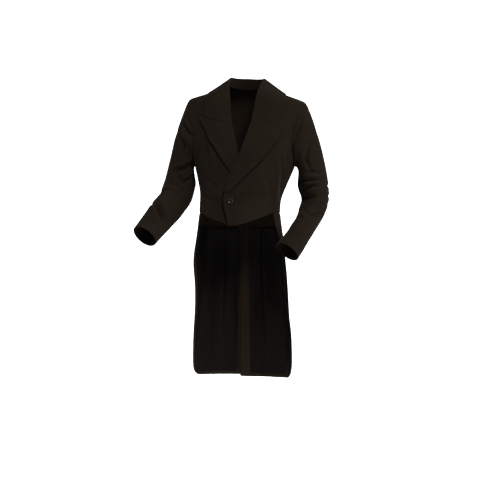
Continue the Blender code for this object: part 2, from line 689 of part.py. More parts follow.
def collar_half(side):
    """Rows of the collar from the centre back to the gorge, on one side."""
    front = forepart_grid()
    neck = back_neck()
    points = []
    directions = []
    side_steps = NECK_STEPS + COLLAR_FRONT_STEPS
    for step in range(side_steps + 1):
        behind = min(step, NECK_STEPS)
        ahead = max(step - NECK_STEPS, 0)
        if step <= NECK_STEPS:
            angle, level = neck[step]
            share = step / NECK_STEPS
            height = STAND_BACK + (STAND_SIDE - STAND_BACK) * share
            edge = (angle, COLLAR_EDGE_BACK + (COLLAR_EDGE_SIDE - COLLAR_EDGE_BACK) * ramp(share, 0.0, 1.0))
        else:
            angle, level = front[ahead, 0]
            share = ahead / COLLAR_FRONT_STEPS
            height = LAPEL_STAND + (STAND_SIDE - LAPEL_STAND) * (1.0 - share) ** 2
            level_edge = COLLAR_EDGE_SIDE + (GORGE[-1].height - COLLAR_EDGE_SIDE) * share
            edge = (float(angle_at(COLLAR_EDGE_ACROSS + 2.0 * share, level_edge)), level_edge)
        seam = body(angle, level, side)
        inward = -unit(np.array([seam[0] - STANCES[-1].across, seam[1], 0.0]))
        upright = unit(inward * STAND_LEAN + np.array([0.0, 0.0, 1.0]))
        off_edge, along_normal = seam_frame(front, ahead, side)[1:]
        turned = ramp(ahead / COLLAR_FRONT_STEPS, 0.0, 0.8)
        stand = unit(upright * (1.0 - turned) + off_edge * turned)
        normal = outward(angle, level, side) if behind < NECK_STEPS or ahead == 0 else along_normal
        normal = unit(normal - (normal @ stand) * stand)
        shares = np.arange(1, LEAF_STEPS) / (LEAF_STEPS - 1.0)
        path = np.array([angle, level]) * (1.0 - shares[:, None]) + np.array(edge) * shares[:, None]
        if step == side_steps:
            path = on_body(GORGE, LEAF_STEPS - 1)[1:]
        lying = body(path[:, 0], path[:, 1], side)
        belly = LAPEL_BELLY * np.sin(math.pi * shares * 0.8)
        lying = lying + outward(path[:, 0], path[:, 1], side) * (LEAF_LIFT + belly)[:, None]
        rise = (height + FOLD_RADIUS) * (1.0 - shares) ** 1.3
        lying = lying + rise[:, None] * stand
        row_points, row_out = leaf_rows(seam, stand, normal, height, lying)
        points.append(row_points)
        directions.append(row_out)
    points = np.array(points)
    return points, leaf_out(points, np.array(directions), side)


def collar():
    left_points, left_out = collar_half("left")
    right_points, right_out = collar_half("right")
    points = np.concatenate([right_points[:0:-1], left_points])
    out = np.concatenate([right_out[:0:-1], left_out])
    middle = len(right_points) - 1
    out[middle] = unit(out[middle - 1] + out[middle + 1])
    return cloth("collar", end_drawn_in(points), out, CLOTH_LOOK)


def tail_lining(side):
    """The lining that shows inside a tail, made from the points of the skirt and the tail strip."""
    skirt = skirt_grid(side)
    strip = back_grid(side)[-TAIL_STEPS - 1:, ::-1]
    joined = np.concatenate([skirt, strip[:, 1:]], axis=1)[1:-1, 1:-2]
    out = outward(joined[..., 0], joined[..., 1], side)
    inset = WALL / 2.0 + LINING_GAP + LINING_WALL / 2.0
    middle = body(joined[..., 0], joined[..., 1], side) - out * inset
    return cloth("tail_lining_" + side, middle, out, LINING_LOOK, LINING_WALL)


def button():
    """A turned button with a raised rim and a thread shank, square to the left front."""
    angle = float(angle_at(BUTTON_ACROSS, BUTTON_HEIGHT))
    seat = body(angle, BUTTON_HEIGHT, "left")
    axis = outward(angle, BUTTON_HEIGHT, "left")
    across = unit(np.cross(np.array([0.0, 0.0, 1.0]), axis))
    upward = np.cross(axis, across)
    base = WALL / 2.0 + 0.45
    shank = 1.5
    under = base + shank
    top = under + BUTTON_THICKNESS
    Turn = namedtuple("Turn", "radius level")
    profile = [
        Turn(2.4, base), Turn(2.0, under - 0.1), Turn(BUTTON_RADIUS * 0.8, under),
        Turn(BUTTON_RADIUS, under + 1.2), Turn(BUTTON_RADIUS, top - 0.8), Turn(BUTTON_RADIUS * 0.93, top),
        Turn(BUTTON_RADIUS * 0.78, top - 0.3), Turn(BUTTON_RADIUS * 0.68, top - 1.2),
    ]
    sides = 24
    made = bmesh.new()
    rings = []
    for turn in profile:
        ring = []
        for step in range(sides):
            around = 2.0 * math.pi * step / sides
            flat = across * math.cos(around) * turn.radius + upward * math.sin(around) * turn.radius
            ring.append(made.verts.new((seat + flat + axis * turn.level) * MM))
        rings.append(ring)
    for lower, upper in zip(rings, rings[1:]):
        for step in range(sides):
            following = (step + 1) % sides
            made.faces.new((lower[step], lower[following], upper[following], upper[step]))
    made.faces.new(rings[0])
    made.faces.new(rings[-1])
    bmesh.ops.recalc_face_normals(made, faces=made.faces)
    bmesh.ops.triangulate(made, faces=made.faces)
    return place("button", made, BUTTON_LOOK)


def half_coat(side):
    sleeve, sleeve_outward = sleeve_grid(side)
    mitre = armhole_mitre(side, sleeve_outward)
    third = UNDER_STEPS
    panel("forepart_" + side, forepart_grid(), side, [(k, -1, mitre[k]) for k in range(third + 1)])
    side_grid = patch(front_seam(), back_seam(), armhole_places()[third:2 * third + 1], waist_seam())
    panel("side_body_" + side, side_grid, side, [(0, k, mitre[third + k]) for k in range(third + 1)])
    behind = [(SHOULDER_STEPS + k, -1, mitre[ARMHOLE_STEPS - k]) for k in range(third + 1)]
    whole_back = back_grid(side)
    panel("back_" + side, whole_back[:-TAIL_STEPS], side, behind)
    panel("tail_strip_" + side, whole_back[-TAIL_STEPS - 1:], side)
    panel("skirt_" + side, skirt_grid(side), side)
    tail_lining(side)
    lapel(side)
    sleeve_outward[0] = mitre
    upper = list(range(2 * third, ARMHOLE_STEPS)) + list(range(0, third + 1))
    under = list(range(third, 2 * third + 1))
    for name, columns in (("top_sleeve_", upper), ("under_sleeve_", under)):
        middle = drawn_in(sleeve[:, columns], SLEEVE_HALF_GAP)
        cloth(name + side, middle, sleeve_outward[:, columns], CLOTH_LOOK)


for coat_side in SIDES:
    half_coat(coat_side)
collar()
button()
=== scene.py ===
import math
import bpy
import numpy as np
from mathutils import Matrix, Vector
from mathutils.bvhtree import BVHTree
from mathutils.kdtree import KDTree


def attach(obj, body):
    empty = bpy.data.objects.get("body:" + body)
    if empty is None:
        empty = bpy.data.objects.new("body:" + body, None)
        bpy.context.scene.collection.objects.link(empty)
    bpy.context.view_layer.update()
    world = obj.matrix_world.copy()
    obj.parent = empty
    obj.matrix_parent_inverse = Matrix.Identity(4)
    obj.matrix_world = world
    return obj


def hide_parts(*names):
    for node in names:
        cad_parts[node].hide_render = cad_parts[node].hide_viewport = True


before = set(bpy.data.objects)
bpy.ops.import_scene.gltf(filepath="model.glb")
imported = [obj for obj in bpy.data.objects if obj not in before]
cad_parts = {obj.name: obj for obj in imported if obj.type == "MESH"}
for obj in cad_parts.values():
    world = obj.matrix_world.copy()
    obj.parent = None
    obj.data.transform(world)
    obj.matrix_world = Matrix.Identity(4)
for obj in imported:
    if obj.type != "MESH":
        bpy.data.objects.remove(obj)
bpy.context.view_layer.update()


# Studio: a pale sweep that glows from behind the coat on, as a light table does, with a large soft window
# high in front, a soft box at each side and a camera level with the coat's waist.
FLOOR_HEIGHT = -1.548
CAMERA_TURN = math.radians(10)
CAMERA_DISTANCE = 5.0
CAMERA_HEIGHT = -0.62

bpy.ops.object.select_all(action="DESELECT")
bpy.ops.mesh.primitive_plane_add(size=12, location=(0, 0, FLOOR_HEIGHT))
floor = bpy.context.object
floor.name = "studio_floor"
bpy.ops.object.mode_set(mode="EDIT")
bpy.ops.mesh.select_mode(type="EDGE")
bpy.ops.mesh.select_all(action="DESELECT")
bpy.ops.object.mode_set(mode="OBJECT")
for edge in floor.data.edges:
    ends = [floor.data.vertices[i].co for i in edge.vertices]
    edge.select = all(end.y > 5.9 for end in ends)
bpy.ops.object.mode_set(mode="EDIT")
bpy.ops.mesh.extrude_region_move(TRANSFORM_OT_translate={"value": (0, 0, 7)})
bpy.ops.mesh.select_all(action="DESELECT")
bpy.ops.object.mode_set(mode="OBJECT")
for edge in floor.data.edges:
    ends = [floor.data.vertices[i].co for i in edge.vertices]
    edge.select = all(end.y > 5.9 and end.z < 0.1 for end in ends)
bpy.ops.object.mode_set(mode="EDIT")
bpy.ops.mesh.bevel(offset=3.0, offset_type="OFFSET", segments=16, affect="EDGES")
bpy.ops.object.mode_set(mode="OBJECT")
bpy.ops.object.shade_smooth()
bpy.ops.object.transform_apply(location=True, rotation=True, scale=True)

backdrop = bpy.data.materials.new("pale_backdrop")
backdrop.use_nodes = True
backdrop_shader = backdrop.node_tree.nodes["Principled BSDF"]
backdrop_shader.inputs["Base Color"].default_value = (0.6, 0.6, 0.6, 1)
backdrop_shader.inputs["Roughness"].default_value = 0.9
backdrop_shader.inputs["Emission Color"].default_value = (1, 1, 1, 1)
sweep_place = backdrop.node_tree.nodes.new("ShaderNodeTexCoord")
sweep_axes = backdrop.node_tree.nodes.new("ShaderNodeSeparateXYZ")
glow = backdrop.node_tree.nodes.new("ShaderNodeMapRange")
glow.inputs["From Min"].default_value = -0.9
glow.inputs["From Max"].default_value = -0.45
glow.inputs["To Max"].default_value = 0.9
backdrop.node_tree.links.new(sweep_place.outputs["Object"], sweep_axes.inputs["Vector"])
backdrop.node_tree.links.new(sweep_axes.outputs["Y"], glow.inputs["Value"])
backdrop.node_tree.links.new(glow.outputs["Result"], backdrop_shader.inputs["Emission Strength"])
floor.data.materials.append(backdrop)

room = bpy.data.worlds.new("pale_room")
room.use_nodes = True
room.node_tree.nodes["Background"].inputs["Color"].default_value = (1, 1, 1, 1)
room.node_tree.nodes["Background"].inputs["Strength"].default_value = 0.10
bpy.context.scene.world = room


def soft_light(name, place, aim, width, height, power):
    """A soft box: a rectangular area light at place that faces aim."""
    bpy.ops.object.light_add(type="AREA", location=place)
    light = bpy.context.object
    light.name = name
    light.data.shape = "RECTANGLE"
    light.data.size = width
    light.data.size_y = height
    light.data.energy = power
    light.rotation_euler = (Vector(aim) - Vector(place)).to_track_quat("-Z", "Y").to_euler()
    return light


soft_light("left_box", (-2.7, -1.0, 0.5), (0, 0, -0.5), 0.8, 1.8, 30)
soft_light("right_box", (2.7, -0.8, 0.7), (0, 0, -0.5), 0.8, 1.8, 60)
bpy.ops.object.light_add(type="SUN", location=(-2, -3, 4))
window = bpy.context.object
window.name = "window_light"
window.data.energy = 4.4
window.data.angle = math.radians(16)
window.rotation_euler = Vector((0.38, -0.60, 0.70)).to_track_quat("Z", "Y").to_euler()
bpy.context.scene.view_settings.view_transform = "Standard"

bpy.ops.object.camera_add(location=(CAMERA_DISTANCE * math.sin(CAMERA_TURN),
                                    -CAMERA_DISTANCE * math.cos(CAMERA_TURN), CAMERA_HEIGHT),
                          rotation=(math.pi / 2, 0, CAMERA_TURN))
camera = bpy.context.object
camera.name = "photo_camera"
camera.data.lens = 90
camera.data.sensor_width = 36
camera.data.dof.use_dof = False
bpy.context.scene.camera = camera


# Backs: two lengths of black wool suiting, each cut in one with the centre strip of its tail. They
# meet in the centre-back seam down to the waist, and below it the left tail laps over the right one.
BODY_AXIS = ((-0.035, 0.0, 0.1), (-0.035, 0.0, -1.2))
WAIST_HEIGHT = -0.472


def suiting(name, warp_lift):
    """Black wool cloth: a fine twill with uneven yarns, a soft nap and a faint warm cast."""
    cloth = bpy.data.materials.new(name)
    cloth.use_nodes = True
    nodes, links = cloth.node_tree.nodes, cloth.node_tree.links
    shader = nodes["Principled BSDF"]
    shader.inputs["Roughness"].default_value = 0.8
    shader.inputs["Specular IOR Level"].default_value = 0.0
    shader.inputs["Sheen Weight"].default_value = 0.02
    shader.inputs["Sheen Roughness"].default_value = 0.45
    shader.inputs["Sheen Tint"].default_value = (0.95, 0.86, 0.78, 1)

    weave_map = nodes.new("ShaderNodeUVMap")
    weave_map.uv_map = "weave"
    twill = nodes.new("ShaderNodeTexWave")
    twill.wave_type = "BANDS"
    twill.bands_direction = "DIAGONAL"
    twill.inputs["Scale"].default_value = 250
    twill.inputs["Distortion"].default_value = 1.2
    twill.inputs["Detail"].default_value = 2
    twill.inputs["Detail Scale"].default_value = 2.5
    links.new(weave_map.outputs["UV"], twill.inputs["Vector"])

    yarn_stretch = nodes.new("ShaderNodeMapping")
    yarn_stretch.inputs["Scale"].default_value = (1600, 160, 1)
    links.new(weave_map.outputs["UV"], yarn_stretch.inputs["Vector"])
    yarns = nodes.new("ShaderNodeTexNoise")
    yarns.inputs["Scale"].default_value = 1
    yarns.inputs["Detail"].default_value = 3
    links.new(yarn_stretch.outputs["Vector"], yarns.inputs["Vector"])

    place = nodes.new("ShaderNodeTexCoord")
    nap = nodes.new("ShaderNodeTexNoise")
    nap.inputs["Scale"].default_value = 900
    nap.inputs["Detail"].default_value = 4
    nap.inputs["Roughness"].default_value = 0.7
    links.new(place.outputs["Object"], nap.inputs["Vector"])
    shade = nodes.new("ShaderNodeTexNoise")
    shade.inputs["Scale"].default_value = 9
    shade.inputs["Detail"].default_value = 3
    links.new(place.outputs["Object"], shade.inputs["Vector"])

    deep, lit = (0.0030, 0.0021, 0.0015, 1), (0.0134, 0.0096, 0.0069, 1)
    tone = nodes.new("ShaderNodeMix")
    tone.data_type = "RGBA"
    tone.inputs["A"].default_value = deep
    tone.inputs["B"].default_value = lit
    weights = nodes.new("ShaderNodeMath")
    weights.operation = "MULTIPLY_ADD"
    weights.inputs[1].default_value = 0.3
    yarn_share = nodes.new("ShaderNodeMath")
    yarn_share.operation = "MULTIPLY_ADD"
    yarn_share.inputs[1].default_value = 0.35
    shade_share = nodes.new("ShaderNodeMath")
    shade_share.operation = "MULTIPLY"
    shade_share.inputs[1].default_value = 0.5
    links.new(shade.outputs["Fac"], shade_share.inputs[0])
    links.new(yarns.outputs["Fac"], yarn_share.inputs[0])
    links.new(shade_share.outputs["Value"], yarn_share.inputs[2])
    links.new(twill.outputs["Fac"], weights.inputs[0])
    links.new(yarn_share.outputs["Value"], weights.inputs[2])
    links.new(weights.outputs["Value"], tone.inputs["Factor"])
    links.new(tone.outputs["Result"], shader.inputs["Base Color"])

    relief = nodes.new("ShaderNodeMath")
    relief.operation = "MULTIPLY_ADD"
    relief.inputs[1].default_value = warp_lift
    links.new(twill.outputs["Fac"], relief.inputs[0])
    links.new(nap.outputs["Fac"], relief.inputs[2])
    bump = nodes.new("ShaderNodeBump")
    bump.inputs["Strength"].default_value = 0.35
    bump.inputs["Distance"].default_value = 0.0004
    links.new(relief.outputs["Value"], bump.inputs["Height"])
    links.new(bump.outputs["Normal"], shader.inputs["Normal"])
    return cloth


def points_of(panel):
    """The panel's points as an array."""
    flat = np.empty(len(panel.data.vertices) * 3)
    panel.data.vertices.foreach_get("co", flat)
    return flat.reshape(-1, 3)


def close_seams(panel, reach):
    """Moves a panel's narrow edge faces out along the cloth, so that it meets the panel that it is sewn to,
    and marks them."""
    places = points_of(panel)
    moved = places.copy()
    held = {edge.key for edge in panel.data.edges if edge.select}
    narrow = panel.data.attributes.new("cut_edge", "BOOLEAN", "FACE")
    for face in panel.data.polygons:
        sides = face.edge_keys
        shortest = min(np.linalg.norm(places[a] - places[b]) for a, b in sides)
        if shortest < 0.0032 and sum(side in held for side in sides) >= 2:
            narrow.data[face.index].value = True
            for corner in face.vertices:
                moved[corner] += np.array(face.normal) * reach
    panel.data.vertices.foreach_set("co", moved.ravel())
    panel.data.update()


def cut_panel(nodes, levels):
    """A copy of a panel's shape as one closed mesh of four-sided faces, subdivided, with its edges held.
    Two nodes that are one length of cloth are joined across the waist."""
    bpy.ops.object.select_all(action="DESELECT")
    for node in nodes[::-1]:
        panel = bpy.data.objects.new("cloth_" + node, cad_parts[node].data.copy())
        bpy.context.scene.collection.objects.link(panel)
        panel.data.materials.clear()
        bpy.context.view_layer.objects.active = panel
        panel.select_set(True)
    if len(nodes) > 1:
        bpy.ops.object.join()
    bpy.ops.object.mode_set(mode="EDIT")
    bpy.ops.mesh.select_mode(type="EDGE")
    bpy.ops.mesh.select_all(action="SELECT")
    bpy.ops.mesh.remove_doubles(threshold=0.00002)
    bpy.ops.mesh.tris_convert_to_quads(face_threshold=math.radians(60), shape_threshold=math.radians(60),
                                       topology_influence=1.0)
    if len(nodes) > 1:
        bpy.ops.mesh.select_all(action="DESELECT")
        bpy.ops.mesh.select_mode(type="FACE")
        bpy.ops.object.mode_set(mode="OBJECT")
        for face in panel.data.polygons:
            face.select = all(abs(panel.data.vertices[i].co.z - WAIST_HEIGHT) < 0.0015 for i in face.vertices)
        bpy.ops.object.mode_set(mode="EDIT")
        bpy.ops.mesh.delete(type="FACE")
        bpy.ops.mesh.select_mode(type="EDGE")
        bpy.ops.mesh.select_non_manifold()
        bpy.ops.mesh.remove_doubles(threshold=0.0007)
    bpy.ops.mesh.select_all(action="DESELECT")
    bpy.ops.mesh.edges_select_sharp(sharpness=math.radians(60))
    bpy.ops.transform.edge_crease(value=math.sqrt((levels - 1) / 10))
    bpy.ops.object.mode_set(mode="OBJECT")
    close_seams(panel, 0.0006)
    rounding = panel.modifiers.new("finer_cloth", "SUBSURF")
    rounding.levels = rounding.render_levels = levels
    bpy.ops.object.modifier_apply(modifier=rounding.name)
    bpy.ops.object.shade_smooth()
    return panel


def outward(points, axis):
    """The nearest place on the axis line, how far along it that is, and the direction out of it, for each point."""
    axis = np.array(axis, float)
    nearest = np.full(len(points), np.inf)
    foot = np.zeros_like(points)
    along = np.zeros(len(points))
    walked = 0.0
    for start, end in zip(axis[:-1], axis[1:]):
        step = end - start
        length = np.linalg.norm(step)
        share = np.clip((points - start) @ step / length ** 2, 0, 1)
        place = start + share[:, None] * step
        gap = np.linalg.norm(points - place, axis=1)
        closer = gap < nearest
        nearest[closer] = gap[closer]
        foot[closer] = place[closer]
        along[closer] = walked + share[closer] * length
        walked += length
    way = points - foot
    way /= np.maximum(np.linalg.norm(way, axis=1), 1e-9)[:, None]
    return foot, along, way


def smooth(value):
    value = np.clip(value, 0, 1)
    return value * value * (3 - 2 * value)


def crease(panel, axis, view, line, reach, depth):
    """Presses a soft trough with low ridges beside it into the cloth, along a line drawn on the side seen from view.
    The line's points are (across, height) in millimetres. A negative depth raises a fold."""
    points = points_of(panel)
    turn = math.radians(view)
    across = points[:, 0] * math.cos(turn) + points[:, 1] * math.sin(turn)
    seen = np.stack([across, points[:, 2]], axis=1) * 1000
    line = np.array(line, float)
    lengths = np.linalg.norm(np.diff(line, axis=0), axis=1)
    walked = 0.0
    nearest = np.full(len(points), np.inf)
    where = np.zeros(len(points))
    for start, end, length in zip(line[:-1], line[1:], lengths):
        share = np.clip((seen - start) @ (end - start) / length ** 2, 0, 1)
        gap = np.linalg.norm(seen - start - share[:, None] * (end - start), axis=1)
        closer = gap < nearest
        nearest[closer] = gap[closer]
        where[closer] = (walked + share[closer] * length) / lengths.sum()
        walked += length
    foot, along, way = outward(points, axis)
    facing = smooth((way[:, 0] * math.sin(turn) - way[:, 1] * math.cos(turn) + 0.1) / 0.5)
    fade = np.sin(np.pi * (0.06 + 0.88 * where)) ** 0.8
    spread = (nearest / reach) ** 2
    press = (1 - 0.9 * spread) * np.exp(-spread)
    moved = points - way * (press * fade * facing * depth / 1000)[:, None]
    panel.data.vertices.foreach_set("co", moved.ravel())
    panel.data.update()


def sink_seams(panel, axis, mates, reach, depth):
    """Draws the cloth in along the edges by which it is sewn to its mates, as a pressed seam does."""
    points = points_of(panel)
    narrow = panel.data.attributes["cut_edge"].data
    edge_points = {i for face in panel.data.polygons if narrow[face.index].value for i in face.vertices}
    walls = [BVHTree.FromPolygons(points_of(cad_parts[mate]).tolist(),
                                  [tuple(face.vertices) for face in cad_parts[mate].data.polygons])
             for mate in mates]
    sewn = [i for i in edge_points if any(wall.find_nearest(points[i], 0.002)[0] for wall in walls)]
    seam = KDTree(len(sewn))
    for i in sewn:
        seam.insert(points[i], i)
    seam.balance()
    gap = np.array([seam.find(point)[2] for point in points])
    foot, along, way = outward(points, axis)
    moved = points - way * (np.exp(-(gap / reach) ** 2) * depth)[:, None]
    panel.data.vertices.foreach_set("co", moved.ravel())
    panel.data.update()


def settle(panel, axis, amount, inward=0.0):
    """Lets the cloth swell and sink a little in broad uneven waves, as worn cloth does. A lining is moved inward
    by as much as the seams over it are drawn in."""
    points = points_of(panel)
    foot, along, way = outward(points, axis)
    x, y, z = points.T
    wave = (np.sin(47 * x + 31 * z + 1.3) + np.sin(61 * y - 23 * z + 0.4) + np.sin(29 * x - 38 * y + 17 * z)) / 3
    moved = points + way * (wave * amount - inward)[:, None]
    panel.data.vertices.foreach_set("co", moved.ravel())
    panel.data.update()


def lay_weave(panel, axis, radius):
    """A map in metres whose length runs along the axis and whose width runs round it, so that the grain hangs true."""
    points = points_of(panel)
    foot, along, way = outward(points, axis)
    middle = way.mean(axis=0)
    turn = np.arctan2(way[:, 1], way[:, 0]) - math.atan2(middle[1], middle[0])
    turn = (turn + math.pi) % (2 * math.pi) - math.pi
    placed = np.stack([turn * radius, along], axis=1)
    corners = np.empty(len(panel.data.loops), np.int32)
    panel.data.loops.foreach_get("vertex_index", corners)
    weave = panel.data.uv_layers.new(name="weave")
    weave.data.foreach_set("uv", placed[corners].ravel())


def sew_in(panel, nodes, cloth):
    """Gives a finished panel its cloth, hangs it from the root and hides the model's parts that it stands in for."""
    panel.data.materials.append(cloth)
    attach(panel, "root")
    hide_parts(*nodes)


coat_cloth = suiting("black_wool_suiting", 0.9)
body_creases = [
    (10, [(-206, -48), (-201, -80), (-196, -112)], 8, 3.5),
    (10, [(-184, -44), (-178, -84)], 8, -2.5),
    (10, [(-214, -200), (-212, -262), (-206, -320)], 13, 9.0),
    (10, [(-184, -140), (-177, -220), (-170, -300)], 13, 6.0),
    (10, [(-160, -170), (-152, -236), (-142, -290)], 12, -4.0),
    (10, [(-178, -330), (-150, -366), (-118, -384)], 13, 3.5),
    (10, [(-186, -404), (-146, -428), (-112, -430)], 12, 3.0),
    (10, [(158, -196), (150, -244), (146, -300)], 13, 8.0),
    (10, [(130, -262), (128, -336), (116, -420)], 12, 6.5),
    (10, [(108, -276), (106, -352), (98, -436)], 13, -4.0),
    (10, [(58, -330), (80, -392), (84, -452)], 13, 3.0),
    (10, [(-40, -424), (6, -408), (58, -412)], 13, 2.5),
    (10, [(166, -64), (162, -104), (152, -146)], 10, 3.0),
    (190, [(-152, -206), (-112, -238), (-62, -250)], 15, 6.0),
    (190, [(204, -196), (160, -236), (108, -262)], 15, 6.5),
    (190, [(-148, -262), (-108, -286), (-70, -292)], 12, 3.5),
    (190, [(-74, -416), (-20, -431), (44, -426)], 11, 4.5),
    (190, [(168, -392), (110, -428), (60, -440)], 11, 4.0),
    (190, [(-58, -520), (-66, -760), (-74, -1040)], 22, 11.0),
    (190, [(112, -520), (120, -760), (128, -1030)], 24, 11.0),
    (190, [(-18, -620), (-24, -800), (-22, -1010)], 18, -6.0),
    (190, [(64, -580), (68, -840), (62, -1080)], 20, -8.0),
    (190, [(160, -600), (168, -820), (160, -1060)], 16, -5.0),
]
for side in ("left", "right"):
    nodes = ["back_" + side, "tail_strip_" + side]
    panel = cut_panel(nodes, 3)
    sink_seams(panel, BODY_AXIS, [piece + side for piece in ("side_body_", "forepart_", "top_sleeve_", "skirt_")]
               + ["back_left" if side == "right" else "back_right"], 0.004, 0.0018)
    settle(panel, BODY_AXIS, 0.0009)
    for view, line, reach, depth in body_creases:
        crease(panel, BODY_AXIS, view, line, reach, depth)
    lay_weave(panel, BODY_AXIS, 0.17)
    sew_in(panel, nodes, coat_cloth)


# Side bodies: narrow panels of the same suiting under the arms, sewn between the fronts and the backs.
# They end at the waist seam and carry the lower half of each armhole.
for side in ("left", "right"):
    node = "side_body_" + side
    panel = cut_panel([node], 3)
    sink_seams(panel, BODY_AXIS, [piece + side for piece in ("back_", "forepart_", "under_sleeve_", "skirt_")],
               0.004, 0.0018)
    settle(panel, BODY_AXIS, 0.0009)
    for view, line, reach, depth in body_creases:
        crease(panel, BODY_AXIS, view, line, reach, depth)
    lay_weave(panel, BODY_AXIS, 0.17)
    sew_in(panel, [node], coat_cloth)


# Foreparts: the two fronts of suiting, from the shoulder seam to the short pointed waist hem. The left
# one laps over the right one and closes on a single button. Each is pressed in under its lapel's
# edge, and the right one under the left one's front edge.
LAPEL_EDGES = {
    "right": [(-201, -96), (-184, -134), (-164, -172), (-143, -209), (-121, -246), (-99, -282), (-73, -315)],
    "left": [(145, -112), (128, -152), (107, -190), (80, -224), (54, -258), (25, -291), (-10, -322), (-43, -355),
             (-75, -390)],
}
FRONT_EDGE = [(-93, -376), (-103, -410), (-104, -440), (-98, -462), (-90, -493), (-85, -526)]
for side in ("left", "right"):
    node = "forepart_" + side
    panel = cut_panel([node], 3)
    sink_seams(panel, BODY_AXIS, [piece + side for piece in ("back_", "side_body_", "top_sleeve_")],
               0.004, 0.0018)
    settle(panel, BODY_AXIS, 0.0009)
    crease(panel, BODY_AXIS, 10, LAPEL_EDGES[side], 8, 4.5)
    crease(panel, BODY_AXIS, 10, FRONT_EDGE, 9 if side == "right" else 16, 4.0 if side == "right" else -2.5)
    for view, line, reach, depth in body_creases:
        crease(panel, BODY_AXIS, view, line, reach, depth)
    lay_weave(panel, BODY_AXIS, 0.17)
    sew_in(panel, [node], coat_cloth)


# Skirts: the side pieces of the tails, sewn to the side bodies at the waist seam and to the backs
# behind. Their front edges hang free and curve into the rounded tail corners.
for side in ("left", "right"):
    node = "skirt_" + side
    panel = cut_panel([node], 3)
    sink_seams(panel, BODY_AXIS, [piece + side for piece in ("side_body_", "tail_strip_")], 0.004, 0.0018)
    settle(panel, BODY_AXIS, 0.0009)
    for view, line, reach, depth in body_creases:
        crease(panel, BODY_AXIS, view, line, reach, depth)
    lay_weave(panel, BODY_AXIS, 0.17)
    sew_in(panel, [node], coat_cloth)


# Tail linings: thin smooth black satin, felled inside each tail a little way in from its edges.
# They show from the front, between the tails' free edges.
def satin(name):
    """Black satin: long smooth floats with a soft gloss and faint lengthwise streaks."""
    cloth = bpy.data.materials.new(name)
    cloth.use_nodes = True
    nodes, links = cloth.node_tree.nodes, cloth.node_tree.links
    shader = nodes["Principled BSDF"]
    shader.inputs["Specular IOR Level"].default_value = 0.02
    shader.inputs["Sheen Weight"].default_value = 0.02
    shader.inputs["Sheen Roughness"].default_value = 0.3
    weave_map = nodes.new("ShaderNodeUVMap")
    weave_map.uv_map = "weave"
    stretch = nodes.new("ShaderNodeMapping")
    stretch.inputs["Scale"].default_value = (900, 60, 1)
    links.new(weave_map.outputs["UV"], stretch.inputs["Vector"])
    floats = nodes.new("ShaderNodeTexNoise")
    floats.inputs["Scale"].default_value = 1
    floats.inputs["Detail"].default_value = 4
    links.new(stretch.outputs["Vector"], floats.inputs["Vector"])
    tone = nodes.new("ShaderNodeMix")
    tone.data_type = "RGBA"
    tone.inputs["A"].default_value = (0.0018, 0.0014, 0.0013, 1)
    tone.inputs["B"].default_value = (0.0050, 0.0040, 0.0036, 1)
    links.new(floats.outputs["Fac"], tone.inputs["Factor"])
    links.new(tone.outputs["Result"], shader.inputs["Base Color"])
    gloss = nodes.new("ShaderNodeMapRange")
    gloss.inputs["To Min"].default_value = 0.30
    gloss.inputs["To Max"].default_value = 0.42
    links.new(floats.outputs["Fac"], gloss.inputs["Value"])
    links.new(gloss.outputs["Result"], shader.inputs["Roughness"])
    bump = nodes.new("ShaderNodeBump")
    bump.inputs["Strength"].default_value = 0.12
    bump.inputs["Distance"].default_value = 0.0003
    links.new(floats.outputs["Fac"], bump.inputs["Height"])
    links.new(bump.outputs["Normal"], shader.inputs["Normal"])
    return cloth


lining_satin = satin("black_satin_lining")
for side in ("left", "right"):
    node = "tail_lining_" + side
    panel = cut_panel([node], 2)
    settle(panel, BODY_AXIS, 0.0009, 0.0021)
    for view, line, reach, depth in body_creases:
        crease(panel, BODY_AXIS, view, line, reach, depth)
    lay_weave(panel, BODY_AXIS, 0.17)
    sew_in(panel, [node], lining_satin)


# Lapels: wide peaked facings of the coat's own suiting, turned back along the roll line. They lie on
# the foreparts and their upper edges meet the collar at the gorge.
for side in ("left", "right"):
    node = "lapel_" + side
    panel = cut_panel([node], 3)
    settle(panel, BODY_AXIS, 0.0009)
    crease(panel, BODY_AXIS, 10, LAPEL_EDGES[side], 20, -3.0)
    for view, line, reach, depth in body_creases:
        crease(panel, BODY_AXIS, view, line, reach, depth)
    lay_weave(panel, BODY_AXIS, 0.17)
    sew_in(panel, [node], coat_cloth)


# Collar: one folded length of suiting whose stand rises round the neck and whose fall turns down over
# it, and meets the lapels at the notches.
panel = cut_panel(["collar"], 3)
settle(panel, BODY_AXIS, 0.0009)
for view, line in ((10, [(125, 10), (125, -20), (123, -70), (121, -103), (100, -109), (60, -116)]),
                   (10, [(-182, 8), (-181, -40), (-181, -88), (-160, -98), (-120, -110), (-76, -116)]),
                   (190, [(-126, -3), (-90, -6), (-40, -6), (0, -4), (46, -2), (84, 2), (125, 8), (160, 16)])):
    crease(panel, BODY_AXIS, view, line, 14, -2.0)
lay_weave(panel, BODY_AXIS, 0.10)
sew_in(panel, ["collar"], coat_cloth)


